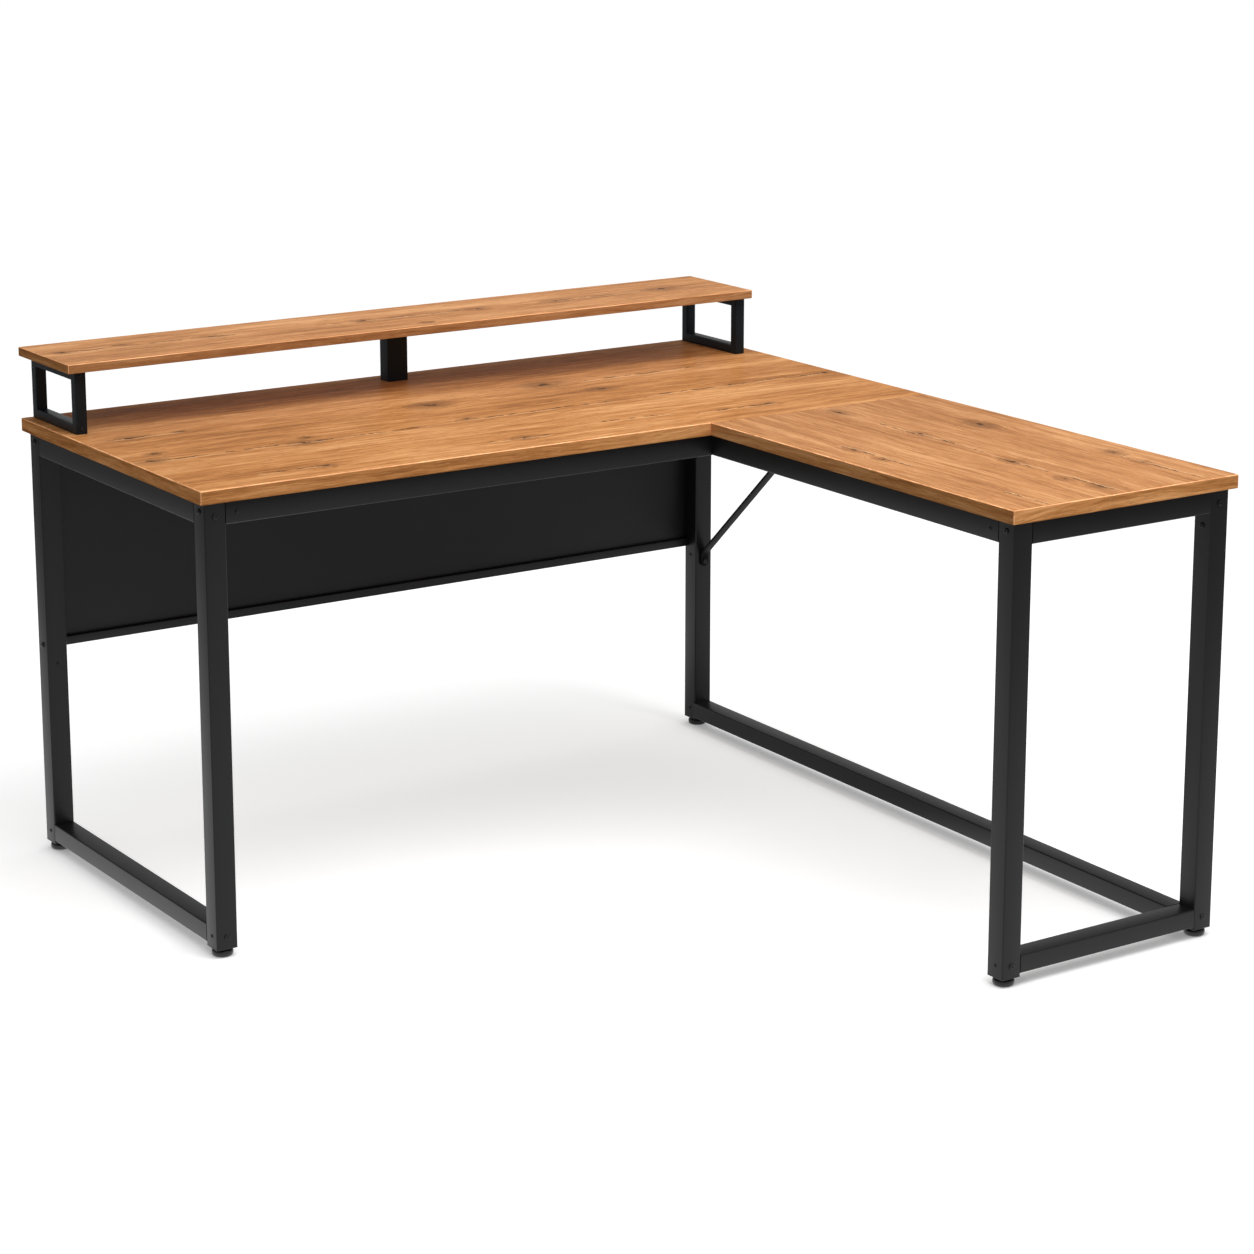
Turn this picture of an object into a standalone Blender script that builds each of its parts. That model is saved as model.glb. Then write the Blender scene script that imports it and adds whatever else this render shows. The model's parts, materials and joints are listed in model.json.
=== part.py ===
"""A corner desk: two wooden worktops in an L on a frame of square steel tube, with a raised shelf.

Metres, +Z up. The origin is on the floor, at the centre of the desk's footprint. +X is right and +Y is
the rear edge, where the shelf stands. The return runs forward, along -Y, at the right-hand end.
"""

import math
from collections import namedtuple

import bmesh
import bpy
from mathutils import Matrix, Vector

# Worktops and shelf
DESK_HEIGHT = 0.750
TOP_THICKNESS = 0.022
MAIN_LENGTH = 1.384
MAIN_DEPTH = 0.668
RETURN_WIDTH = 0.449
RETURN_LENGTH = 0.772
SHELF_LENGTH = 1.354
SHELF_DEPTH = 0.200
SHELF_THICKNESS = 0.015
SHELF_CLEARANCE = 0.105
BOARD_EDGE_RADIUS = 0.0008

# Frame of welded and bolted tube
TUBE = 0.036
WALL = 0.0015
TUBE_CORNER = 0.0018
TUBE_INNER_CORNER = 0.0006
END_PLATE = 0.003
OVERHANG = 0.010
LEG_BOTTOM = 0.014
FLOOR_RAIL_HEIGHT = 0.030
FLOOR_RAIL_BOTTOM = 0.019
RIGHT_RAIL_REAR_SHIFT = 0.005
RIGHT_RAIL_FRONT_SHIFT = 0.026
SEAM_ANGLE_LEG = 0.025
SEAM_ANGLE_THICKNESS = 0.002

# Modesty panel at the rear
PANEL_BOTTOM = 0.353
PANEL_TOP = 0.715
PANEL_THICKNESS = 0.0015
PANEL_SIDE_INSET = 0.004
PANEL_RAIL_HEIGHT = 0.015
PANEL_RAIL_DEPTH = 0.008
PANEL_RAIL_WALL = 0.001
PANEL_RAIL_CORNER = 0.001
PANEL_RAIL_INNER_CORNER = 0.00025

# Shelf supports
LOOP_WIDTH = 0.020
LOOP_BAR = 0.016
LOOP_DEPTH = 0.174
LOOP_REAR_INSET = 0.008
LOOP_LEFT_INSET = 0.018
LOOP_RIGHT_INSET = 0.004
POST_WIDTH = 0.040
POST_DEPTH = 0.030
POST_CENTRE_FROM_LEFT = 0.685
POST_REAR_INSET = 0.034
WOOD_SCREW_HOLE = 0.0025

# Diagonal strap between the rear right leg and the right top rail
BRACE_WIDTH = 0.018
BRACE_THICKNESS = 0.004
BRACE_FOOT_Z = 0.3425
BRACE_RUN = 0.378
BRACE_TAB = 0.025

# Leg plugs and levelling feet
PLUG_FLANGE = 0.0015
PLUG_HEIGHT = 0.026
PLUG_BORE_RADIUS = 0.0048
FOOT_RADIUS = 0.017
FOOT_TREAD_RADIUS = 0.0145
FOOT_HEIGHT = 0.0105
BOSS_RADIUS = 0.007
BOSS_TOP = 0.0122
STUD_RADIUS = 0.004
STUD_TOP = 0.056
STUD_CHAMFER = 0.0010
FOOT_TOP_CHAMFER = 0.0016
FOOT_SIDE_BOTTOM = 0.0040
FOOT_TREAD_RISE = 0.0018
FOOT_TREAD_TAPER = 0.0006

# Where two touching pieces stand apart, and how round things are faceted
GAP = 0.0003
HOLE_CLEARANCE = 0.0004
BOLT_SIDES = 12
FOOT_SIDES = 28
SMOOTH_BELOW = math.radians(35)

# Fasteners: a button head with a hexagon socket on a plain shank
FastenerSize = namedtuple("FastenerSize", "shank_radius shank_length head_radius head_height hex_half")
BOLT_PAST_PLATE = 0.008
RAIL_BOLT = FastenerSize(0.0025, TUBE + END_PLATE + BOLT_PAST_PLATE, 0.0048, 0.0022, 0.0016)
SLIM_RAIL_BOLT = FastenerSize(0.0020, TUBE + END_PLATE + BOLT_PAST_PLATE, 0.0032, 0.0015, 0.0011)
SHORT_BOLT = FastenerSize(0.0025, 0.010, 0.0048, 0.0022, 0.0016)
FRONT_PLUG_SCREW = FastenerSize(0.0018, 0.009, 0.0050, 0.0018, 0.0014)
RAIL_SCREW = FastenerSize(0.0018, 0.009, 0.0038, 0.0016, 0.0012)
SMALL_SCREW = FastenerSize(0.0015, 0.009, 0.0027, 0.0012, 0.0009)
HEAD_SHOULDER_RADIUS = 0.93
HEAD_SHOULDER_HEIGHT = 0.5
HEAD_FLAT_RADIUS = 0.62
SOCKET_DEPTH = 0.6

# Where the fasteners stand
BOLT_STAGGER = 0.0035
REAR_LEG_BOLT_Z = 0.363
RETURN_LEG_BOLT_Z = 0.670
REAR_LEFT_SCREW_Z = 0.331
REAR_RIGHT_SCREW_Z = 0.338
RAIL_SCREW_FROM_LEG = 0.020
BRACE_BOLT_FROM_MIDDLE = 0.003

# Outlines of the desk in plan
LEFT = -MAIN_LENGTH / 2
RIGHT = MAIN_LENGTH / 2
REAR = (MAIN_DEPTH + RETURN_LENGTH) / 2
FRONT = -REAR
SEAM = REAR - MAIN_DEPTH
INNER = RIGHT - RETURN_WIDTH
LEG_INSET = OVERHANG + TUBE / 2

# Levels
TOP_UNDERSIDE = DESK_HEIGHT - TOP_THICKNESS
FRAME_TOP = TOP_UNDERSIDE - GAP
TOP_RAIL_BOTTOM = FRAME_TOP - TUBE
TOP_RAIL_CENTRE = FRAME_TOP - TUBE / 2
SHELF_UNDERSIDE = DESK_HEIGHT + SHELF_CLEARANCE
FLOOR_RAIL_CENTRE = FLOOR_RAIL_BOTTOM + FLOOR_RAIL_HEIGHT / 2

LEG_PLACES = {
    "front_left": (LEFT + LEG_INSET, SEAM + LEG_INSET),
    "rear_left": (LEFT + LEG_INSET, REAR - LEG_INSET),
    "rear_right": (RIGHT - LEG_INSET, REAR - LEG_INSET),
    "return_left": (INNER + LEG_INSET, FRONT + LEG_INSET),
    "return_right": (RIGHT - LEG_INSET, FRONT + LEG_INSET),
}

# A piece is modelled along its own +Z and turned so that +Z points along one of these.
TURNS = {
    "X": Matrix(((0, 0, 1), (1, 0, 0), (0, 1, 0))).to_4x4(),
    "Y": Matrix(((0, 1, 0), (0, 0, 1), (1, 0, 0))).to_4x4(),
    "Z": Matrix.Identity(4),
    "-X": Matrix(((0, 0, -1), (-1, 0, 0), (0, 1, 0))).to_4x4(),
    "-Y": Matrix(((0, -1, 0), (0, 0, -1), (1, 0, 0))).to_4x4(),
    "-Z": Matrix(((1, 0, 0), (0, -1, 0), (0, 0, -1))).to_4x4(),
}


def clear_scene():
    for obj in list(bpy.data.objects):
        bpy.data.objects.remove(obj, do_unlink=True)


def make_material(name, colour, roughness, metallic):
    material = bpy.data.materials.new(name)
    material.use_nodes = True
    shader = material.node_tree.nodes["Principled BSDF"]
    shader.inputs["Base Color"].default_value = (*colour, 1.0)
    shader.inputs["Roughness"].default_value = roughness
    shader.inputs["Metallic"].default_value = metallic
    material.diffuse_color = (*colour, 1.0)
    return material


def add_object(name, bm, material, place=(0, 0, 0), turn="Z", smooth=False):
    """A new object holding bm, with its origin at place."""
    bmesh.ops.recalc_face_normals(bm, faces=bm.faces)
    mesh = bpy.data.meshes.new(name)
    bm.to_mesh(mesh)
    bm.free()
    if smooth:
        mesh.shade_smooth()
        mesh.set_sharp_from_angle(angle=SMOOTH_BELOW)
    mesh.materials.append(material)
    obj = bpy.data.objects.new(name, mesh)
    obj.matrix_world = Matrix.Translation(place) @ TURNS[turn]
    bpy.context.scene.collection.objects.link(obj)
    return obj


def add_cutter(name, bm, place=(0, 0, 0), turn="Z"):
    cutter = add_object(name, bm, MATERIALS["black_steel"], place, turn)
    cutter.hide_render = True
    cutter.display_type = "WIRE"
    return cutter


def cut(obj, cutter):
    modifier = obj.modifiers.new(cutter.name, "BOOLEAN")
    modifier.operation = "DIFFERENCE"
    modifier.solver = "EXACT"
    modifier.object = cutter


def loft(bm, rings, sweep_closed=False):
    """Joins equal rings of points with quads. An open loft is capped at both ends."""
    loops = [[bm.verts.new(point) for point in ring] for ring in rings]
    pairs = list(zip(loops, loops[1:]))
    if sweep_closed:
        pairs.append((loops[-1], loops[0]))
    for lower, upper in pairs:
        for i in range(len(lower)):
            j = (i + 1) % len(lower)
            bm.faces.new((lower[i], lower[j], upper[j], upper[i]))
    if not sweep_closed:
        bm.faces.new(reversed(loops[0]))
        bm.faces.new(loops[-1])


def rounded_rectangle(width, depth, radius, z, steps=2):
    """Points round a rectangle centred on the axis, with quarter-circle corners."""
    points = []
    for quarter in range(4):
        turn = quarter * math.pi / 2
        sign_x = 1 if quarter in (0, 3) else -1
        sign_y = 1 if quarter in (0, 1) else -1
        centre = Vector((sign_x * (width / 2 - radius), sign_y * (depth / 2 - radius), z))
        for step in range(steps + 1):
            angle = turn + step / steps * math.pi / 2
            points.append(centre + Vector((radius * math.cos(angle), radius * math.sin(angle), 0)))
    return points


def prism(width, depth, radius, bottom, top):
    bm = bmesh.new()
    loft(bm, [rounded_rectangle(width, depth, radius, z) for z in (bottom, top)])
    return bm


def block(bm, low, high):
    """A plain box between two corners."""
    low = Vector(low)
    high = Vector(high)
    size = Matrix.Diagonal((*(high - low), 1.0))
    bmesh.ops.create_cube(bm, size=1.0, matrix=Matrix.Translation((low + high) / 2) @ size)


def circle(radius, z, sides):
    return [
        Vector((radius * math.cos(2 * math.pi * i / sides), radius * math.sin(2 * math.pi * i / sides), z))
        for i in range(sides)
    ]


def hexagon(half_width, z, sides):
    """Points on a hexagon at the same angles as circle() gives. sides is a multiple of 6."""
    points = []
    for i in range(sides):
        angle = 2 * math.pi * i / sides
        from_flat = (angle % (math.pi / 3)) - math.pi / 6
        radius = half_width / math.cos(from_flat)
        points.append(Vector((radius * math.cos(angle), radius * math.sin(angle), z)))
    return points


def hole_radius(shank_radius):
    """The corner radius of a many-sided hole whose flats clear a round shank."""
    return (shank_radius + HOLE_CLEARANCE) / math.cos(math.pi / BOLT_SIDES)


def make_board(name, low, high):
    bm = bmesh.new()
    block(bm, low, high)
    board = add_object(name, bm, MATERIALS["oak"])
    bevel = board.modifiers.new("edge", "BEVEL")
    bevel.width = BOARD_EDGE_RADIUS
    bevel.segments = 2


def make_boards():
    make_board("main_top", (LEFT, SEAM, TOP_UNDERSIDE), (RIGHT, REAR, DESK_HEIGHT))
    make_board("return_top", (INNER, FRONT, TOP_UNDERSIDE), (RIGHT, SEAM - GAP, DESK_HEIGHT))
    shelf_low = (LEFT, REAR - SHELF_DEPTH, SHELF_UNDERSIDE)
    make_board("shelf_board", shelf_low, (LEFT + SHELF_LENGTH, REAR, SHELF_UNDERSIDE + SHELF_THICKNESS))


def make_tube(name, place, turn, length, plates=(0.0, 0.0), height=TUBE):
    """A tube from place along turn. Each end is open, or closed by a welded plate of that thickness."""
    width, depth = (TUBE, height) if turn == "X" else (height, TUBE)
    outer = prism(width, depth, TUBE_CORNER, 0, length)
    tube = add_object(name, outer, MATERIALS["black_steel"], place, turn)
    start = plates[0] or -GAP
    end = length - plates[1] if plates[1] else length + GAP
    inner = prism(width - 2 * WALL, depth - 2 * WALL, TUBE_INNER_CORNER, start, end)
    cut(tube, add_cutter(name + "_bore", inner, place, turn))
    return tube


def make_legs():
    """Five legs, each with a screwed-in plug and a levelling foot. The plug's flange closes the tube."""
    bottom = LEG_BOTTOM + PLUG_FLANGE + GAP
    for corner, (x, y) in LEG_PLACES.items():
        make_tube("leg_" + corner, (x, y, bottom), "Z", FRAME_TOP - bottom, (0.0, END_PLATE))
        make_plug("leg_plug_" + corner, x, y)
        make_foot("foot_" + corner, x, y)


def make_plug(name, x, y):
    inside = TUBE - 2 * WALL - 2 * GAP
    bm = bmesh.new()
    rings = [
        rounded_rectangle(TUBE, TUBE, TUBE_CORNER, LEG_BOTTOM),
        rounded_rectangle(TUBE, TUBE, TUBE_CORNER, LEG_BOTTOM + PLUG_FLANGE),
        rounded_rectangle(inside, inside, TUBE_INNER_CORNER, LEG_BOTTOM + PLUG_FLANGE),
        rounded_rectangle(inside, inside, TUBE_INNER_CORNER, LEG_BOTTOM + PLUG_FLANGE + PLUG_HEIGHT),
    ]
    loft(bm, rings)
    plug = add_object(name, bm, MATERIALS["black_plastic"], (x, y, 0))
    bore = bmesh.new()
    past = 2 * GAP
    ends = (LEG_BOTTOM - past, LEG_BOTTOM + PLUG_FLANGE + PLUG_HEIGHT + past)
    loft(bore, [circle(PLUG_BORE_RADIUS, z, FOOT_SIDES) for z in ends])
    cut(plug, add_cutter(name + "_bore", bore, (x, y, 0)))


def make_foot(name, x, y):
    """A round pad with a boss and a threaded stud, turned as one shape about its own axis."""
    profile = [
        (FOOT_TREAD_RADIUS, 0.0),
        (FOOT_RADIUS - FOOT_TREAD_TAPER, FOOT_TREAD_RISE),
        (FOOT_RADIUS, FOOT_SIDE_BOTTOM),
        (FOOT_RADIUS, FOOT_HEIGHT - FOOT_TOP_CHAMFER),
        (FOOT_RADIUS - FOOT_TOP_CHAMFER, FOOT_HEIGHT),
        (BOSS_RADIUS, FOOT_HEIGHT),
        (BOSS_RADIUS, BOSS_TOP),
        (STUD_RADIUS, BOSS_TOP),
        (STUD_RADIUS, STUD_TOP - STUD_CHAMFER),
        (STUD_RADIUS - STUD_CHAMFER, STUD_TOP),
    ]
    bm = bmesh.new()
    loft(bm, [circle(radius, z, FOOT_SIDES) for radius, z in profile])
    add_object(name, bm, MATERIALS["black_plastic"], (x, y, 0), smooth=True)


def rail_between(name, first, second, turn, z, height=TUBE, plates=(END_PLATE, END_PLATE)):
    """A rail between the facing sides of two legs on one line along turn."""
    axis = "XY".index(turn)
    start = [*first, z]
    start[axis] += TUBE / 2 + GAP
    length = second[axis] - first[axis] - TUBE - 2 * GAP
    make_tube(name, start, turn, length, plates, height)


def make_top_rails():
    legs = LEG_PLACES
    z = TOP_RAIL_CENTRE
    right_line = (legs["rear_right"][0], legs["front_left"][1])
    inner_line = (legs["return_left"][0], legs["front_left"][1])
    rail_between("top_rail_left", legs["front_left"], legs["rear_left"], "Y", z)
    rail_between("top_rail_rear", legs["rear_left"], legs["rear_right"], "X", z)
    rail_between("top_rail_right", legs["return_right"], legs["rear_right"], "Y", z)
    rail_between("top_rail_front", legs["front_left"], right_line, "X", z)
    rail_between("top_rail_return_inner", legs["return_left"], inner_line, "Y", z)
    rail_between("top_rail_return_front", legs["return_left"], legs["return_right"], "X", z)


def make_floor_rails():
    """Welded rails with open ends. The long right-hand one runs slightly inwards to the front."""
    legs = LEG_PLACES
    z = FLOOR_RAIL_CENTRE
    style = {"height": FLOOR_RAIL_HEIGHT, "plates": (0.0, 0.0)}
    rail_between("floor_rail_left", legs["front_left"], legs["rear_left"], "Y", z, **style)
    rail_between("floor_rail_return", legs["return_left"], legs["return_right"], "X", z, **style)
    rail_between("floor_rail_right", legs["return_right"], legs["rear_right"], "Y", z, **style)
    length = legs["rear_right"][1] - legs["return_right"][1] - TUBE - 2 * GAP
    lean = (RIGHT_RAIL_FRONT_SHIFT - RIGHT_RAIL_REAR_SHIFT) / length
    # In the rail's own frame +Z runs to the rear and +Y to the right.
    shear = Matrix.Identity(4)
    shear[1][2] = lean
    shear[1][3] = -RIGHT_RAIL_FRONT_SHIFT
    for name in ("floor_rail_right", "floor_rail_right_bore"):
        bpy.data.objects[name].data.transform(shear)


def make_seam_angle():
    """A steel angle on the front rail that carries the return top's rear edge and the joint."""
    left = LEG_PLACES["return_left"][0] + TUBE / 2 + GAP
    right = LEG_PLACES["return_right"][0] - TUBE / 2 - GAP
    rail_face = SEAM + OVERHANG - GAP
    thick = SEAM_ANGLE_THICKNESS
    top = FRAME_TOP
    outline = [
        (rail_face, top),
        (rail_face - OVERHANG - SEAM_ANGLE_LEG, top),
        (rail_face - OVERHANG - SEAM_ANGLE_LEG, top - thick),
        (rail_face - thick, top - thick),
        (rail_face - thick, top - SEAM_ANGLE_LEG),
        (rail_face, top - SEAM_ANGLE_LEG),
    ]
    bm = bmesh.new()
    loft(bm, [[Vector((x, y, z)) for y, z in outline] for x in (left, right)])
    add_object("seam_angle", bm, MATERIALS["black_steel"])


def make_modesty_panel():
    rear_face = REAR - OVERHANG
    left = LEFT + OVERHANG + PANEL_SIDE_INSET
    right = RIGHT - OVERHANG - PANEL_SIDE_INSET
    bm = bmesh.new()
    block(bm, (left, rear_face + GAP, PANEL_BOTTOM), (right, rear_face + GAP + PANEL_THICKNESS, PANEL_TOP))
    add_object("modesty_panel", bm, MATERIALS["black_panel"])

    start = Vector((LEFT + OVERHANG + TUBE + GAP, rear_face - PANEL_RAIL_DEPTH / 2, PANEL_BOTTOM))
    start.z += PANEL_RAIL_HEIGHT / 2
    length = MAIN_LENGTH - 2 * (OVERHANG + TUBE + GAP)
    size = (PANEL_RAIL_DEPTH, PANEL_RAIL_HEIGHT)
    rail = prism(*size, PANEL_RAIL_CORNER, 0, length)
    rail = add_object("modesty_rail", rail, MATERIALS["black_steel"], start, "X")
    inner = [side - 2 * PANEL_RAIL_WALL for side in size]
    bore = prism(*inner, PANEL_RAIL_INNER_CORNER, -GAP, length + GAP)
    cut(rail, add_cutter("modesty_rail_bore", bore, start, "X"))


def ring_of_tube(rear, depth, low, height, bar, half_width):
    """A rectangular loop in the YZ plane: outline rectangles swept round the four sides of the tube."""
    bm = bmesh.new()
    front = rear - depth
    rings = []
    high = low + height
    corners = ((front, low, 1, 1), (rear, low, -1, 1), (rear, high, -1, -1), (front, high, 1, -1))
    for y, z, in_y, in_z in corners:
        rings.append([
            Vector((-half_width, y, z)),
            Vector((half_width, y, z)),
            Vector((half_width, y + in_y * bar, z + in_z * bar)),
            Vector((-half_width, y + in_y * bar, z + in_z * bar)),
        ])
    loft(bm, rings, sweep_closed=True)
    return bm


def make_shelf_loop(name, x):
    rear = REAR - LOOP_REAR_INSET
    low = DESK_HEIGHT + GAP
    height = SHELF_CLEARANCE - 2 * GAP
    bm = ring_of_tube(rear, LOOP_DEPTH, low, height, LOOP_BAR, LOOP_WIDTH / 2)
    loop = add_object(name, bm, MATERIALS["black_steel"], (x, 0, 0))
    bevel = loop.modifiers.new("edge", "BEVEL")
    bevel.width = WALL / 2
    bevel.segments = 1
    inner = ring_of_tube(
        rear - WALL, LOOP_DEPTH - 2 * WALL, low + WALL, height - 2 * WALL, LOOP_BAR - 2 * WALL,
        LOOP_WIDTH / 2 - WALL,
    )
    cut(loop, add_cutter(name + "_bore", inner, (x, 0, 0)))
    hole = bmesh.new()
    loft(hole, [circle(WOOD_SCREW_HOLE, z, BOLT_SIDES) for z in (low - GAP, low + height + GAP)])
    cut(loop, add_cutter(name + "_screw_holes", hole, (x, rear - LOOP_DEPTH / 2, 0)))


def make_shelf_supports():
    make_shelf_loop("shelf_loop_left", LEFT + LOOP_LEFT_INSET + LOOP_WIDTH / 2)
    make_shelf_loop("shelf_loop_right", LEFT + SHELF_LENGTH - LOOP_RIGHT_INSET - LOOP_WIDTH / 2)
    place = (LEFT + POST_CENTRE_FROM_LEFT, REAR - POST_REAR_INSET - POST_DEPTH / 2, DESK_HEIGHT + GAP)
    height = SHELF_CLEARANCE - 2 * GAP
    post = prism(POST_WIDTH, POST_DEPTH, TUBE_CORNER, 0, height)
    post = add_object("shelf_post", post, MATERIALS["black_steel"], place)
    inner = (POST_WIDTH - 2 * WALL, POST_DEPTH - 2 * WALL)
    cut(post, add_cutter("shelf_post_bore", prism(*inner, TUBE_INNER_CORNER, -GAP, height + GAP), place))


def brace_line():
    """(y, z) of the strap's centre line: down the leg, up the diagonal, and forward under the rail."""
    half = BRACE_THICKNESS / 2
    leg_side = LEG_PLACES["rear_right"][1] - TUBE / 2 - GAP - half
    rail_under = TOP_RAIL_BOTTOM - GAP - half
    return [
        Vector((leg_side, BRACE_FOOT_Z - BRACE_TAB)),
        Vector((leg_side, BRACE_FOOT_Z)),
        Vector((leg_side - BRACE_RUN, rail_under)),
        Vector((leg_side - BRACE_RUN - BRACE_TAB, rail_under)),
    ]


def offset_line(points, distance):
    """The line moved sideways by distance, with mitred bends."""
    moved = []
    directions = [(b - a).normalized() for a, b in zip(points, points[1:])]
    for i, point in enumerate(points):
        before = directions[max(i - 1, 0)]
        after = directions[min(i, len(directions) - 1)]
        normal = (before + after).normalized()
        normal = Vector((-normal.y, normal.x))
        moved.append(point + normal * distance / math.cos(before.angle(after) / 2))
    return moved


def make_brace():
    line = brace_line()
    half = BRACE_THICKNESS / 2
    outline = offset_line(line, half) + list(reversed(offset_line(line, -half)))
    x = LEG_PLACES["rear_right"][0]
    sides = (x - BRACE_WIDTH / 2, x + BRACE_WIDTH / 2)
    bm = bmesh.new()
    loft(bm, [[Vector((side, y, z)) for y, z in outline] for side in sides])
    add_object("corner_brace", bm, MATERIALS["black_steel"])


def make_fastener(name, size, point, turn, through):
    """A button-head fastener whose head bears on point and faces along turn, and its hole in each part."""
    head_top = GAP + size.head_height
    shoulder = (size.head_radius * HEAD_SHOULDER_RADIUS, GAP + size.head_height * HEAD_SHOULDER_HEIGHT)
    rings = [
        circle(size.shank_radius, -size.shank_length, BOLT_SIDES),
        circle(size.shank_radius, GAP, BOLT_SIDES),
        circle(size.head_radius, GAP, BOLT_SIDES),
        circle(*shoulder, BOLT_SIDES),
        circle(size.head_radius * HEAD_FLAT_RADIUS, head_top, BOLT_SIDES),
        hexagon(size.hex_half, head_top, BOLT_SIDES),
        hexagon(size.hex_half, head_top - size.head_height * SOCKET_DEPTH, BOLT_SIDES),
    ]
    bm = bmesh.new()
    loft(bm, rings)
    add_object(name, bm, MATERIALS["black_bolt"], point, turn, smooth=True)
    hole = bmesh.new()
    radius = hole_radius(size.shank_radius)
    loft(hole, [circle(radius, z, BOLT_SIDES) for z in (-size.shank_length - 2 * GAP, head_top)])
    cutter = add_cutter(name + "_hole", hole, point, turn)
    for part in through:
        cut(bpy.data.objects[part], cutter)


def leg_face(corner, turn, z):
    """The middle of the face of a leg that looks along turn, at height z."""
    x, y = LEG_PLACES[corner]
    if turn == "-X":
        return (x - TUBE / 2, y, z)
    return (x, y - TUBE / 2, z)


def make_rail_bolts():
    """Bolts through a leg into the end plate of a rail. The two at one leg pass above each other."""
    high = TOP_RAIL_CENTRE + BOLT_STAGGER
    low = TOP_RAIL_CENTRE - BOLT_STAGGER
    bolts = (
        ("front_left", "-X", high, "top_rail_front", RAIL_BOLT),
        ("front_left", "-Y", low, "top_rail_left", RAIL_BOLT),
        ("rear_left", "-X", high, "top_rail_rear", RAIL_BOLT),
        ("return_left", "-X", high, "top_rail_return_front", RAIL_BOLT),
        ("return_left", "-Y", low, "top_rail_return_inner", SLIM_RAIL_BOLT),
        ("return_right", "-Y", low, "top_rail_right", RAIL_BOLT),
    )
    for corner, turn, z, rail, size in bolts:
        name = "bolt_" + rail.removeprefix("top_")
        make_fastener(name, size, leg_face(corner, turn, z), turn, ("leg_" + corner, rail))


def make_leg_fasteners():
    """Short fasteners that go no further than a leg's wall or its plug."""
    in_the_wall = (
        ("bolt_rear_left_leg", SHORT_BOLT, "rear_left", "-X", REAR_LEG_BOLT_Z),
        ("bolt_return_right_leg", SHORT_BOLT, "return_right", "-X", RETURN_LEG_BOLT_Z),
        ("screw_rear_left_leg", SMALL_SCREW, "rear_left", "-Y", REAR_LEFT_SCREW_Z),
        ("screw_rear_right_leg", SMALL_SCREW, "rear_right", "-X", REAR_RIGHT_SCREW_Z),
    )
    for name, size, corner, turn, z in in_the_wall:
        make_fastener(name, size, leg_face(corner, turn, z), turn, ("leg_" + corner,))
    plug_screws = (
        ("rear_left", "-X"),
        ("front_left", "-X"),
        ("front_left", "-Y"),
        ("rear_right", "-X"),
        ("return_left", "-X"),
        ("return_left", "-Y"),
        ("return_right", "-Y"),
    )
    for corner, turn in plug_screws:
        side, size = ("side", SMALL_SCREW) if turn == "-X" else ("front", FRONT_PLUG_SCREW)
        name = f"plug_screw_{corner}_{side}"
        parts = ("leg_" + corner, "leg_plug_" + corner)
        make_fastener(name, size, leg_face(corner, turn, FLOOR_RAIL_CENTRE), turn, parts)


def make_rail_screws():
    """A screw near the leg in each of the two rails beside the knee space."""
    from_leg = TUBE / 2 + RAIL_SCREW_FROM_LEG
    x, y = LEG_PLACES["front_left"]
    point = (x + from_leg, y - TUBE / 2, TOP_RAIL_CENTRE)
    make_fastener("screw_rail_front", RAIL_SCREW, point, "-Y", ("top_rail_front",))
    x, y = LEG_PLACES["return_left"]
    point = (x - TUBE / 2, y + from_leg, TOP_RAIL_CENTRE)
    make_fastener("screw_rail_return_inner", SMALL_SCREW, point, "-X", ("top_rail_return_inner",))


def make_loop_screws():
    """Two small screws in the front of the left loop, one in the end of each level bar."""
    x = LEFT + LOOP_LEFT_INSET + LOOP_WIDTH / 2
    front = REAR - LOOP_REAR_INSET - LOOP_DEPTH
    levels = {"upper": SHELF_UNDERSIDE - GAP - LOOP_BAR / 2, "lower": DESK_HEIGHT + GAP + LOOP_BAR / 2}
    for name, z in levels.items():
        make_fastener("loop_screw_" + name, SMALL_SCREW, (x, front, z), "-Y", ("shelf_loop_left",))


def make_brace_bolts():
    line = brace_line()
    x = LEG_PLACES["rear_right"][0]
    half = BRACE_THICKNESS / 2
    low = (x, line[0].x - half, (line[0].y + line[1].y) / 2 - BRACE_BOLT_FROM_MIDDLE)
    high = (x, (line[2].x + line[3].x) / 2 - BRACE_BOLT_FROM_MIDDLE, line[3].y - half)
    make_fastener("bolt_brace_lower", SHORT_BOLT, low, "-Y", ("corner_brace", "leg_rear_right"))
    make_fastener("bolt_brace_upper", SHORT_BOLT, high, "-Z", ("corner_brace", "top_rail_right"))


clear_scene()
MATERIALS = {
    "oak": make_material("oak", (0.56, 0.27, 0.10), 0.45, 0.0),
    "black_steel": make_material("black_steel", (0.022, 0.022, 0.023), 0.50, 0.2),
    "black_panel": make_material("black_panel", (0.015, 0.015, 0.016), 0.60, 0.2),
    "black_bolt": make_material("black_bolt", (0.020, 0.020, 0.020), 0.35, 0.8),
    "black_plastic": make_material("black_plastic", (0.010, 0.010, 0.010), 0.55, 0.0),
}
make_boards()
make_legs()
make_top_rails()
make_floor_rails()
make_seam_angle()
make_modesty_panel()
make_shelf_supports()
make_brace()
make_rail_bolts()
make_leg_fasteners()
make_rail_screws()
make_loop_screws()
make_brace_bolts()
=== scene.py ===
"""Looks, light and camera for the corner desk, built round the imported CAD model.

Every mesh is in the frame's own metres with its object at the origin, so a material's Object coordinates
are places on the desk: +X right along the main worktop, +Y to the rear edge, +Z up from the floor.
"""

import json
import math

import bmesh
import bpy
from mathutils import Matrix, Vector


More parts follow.
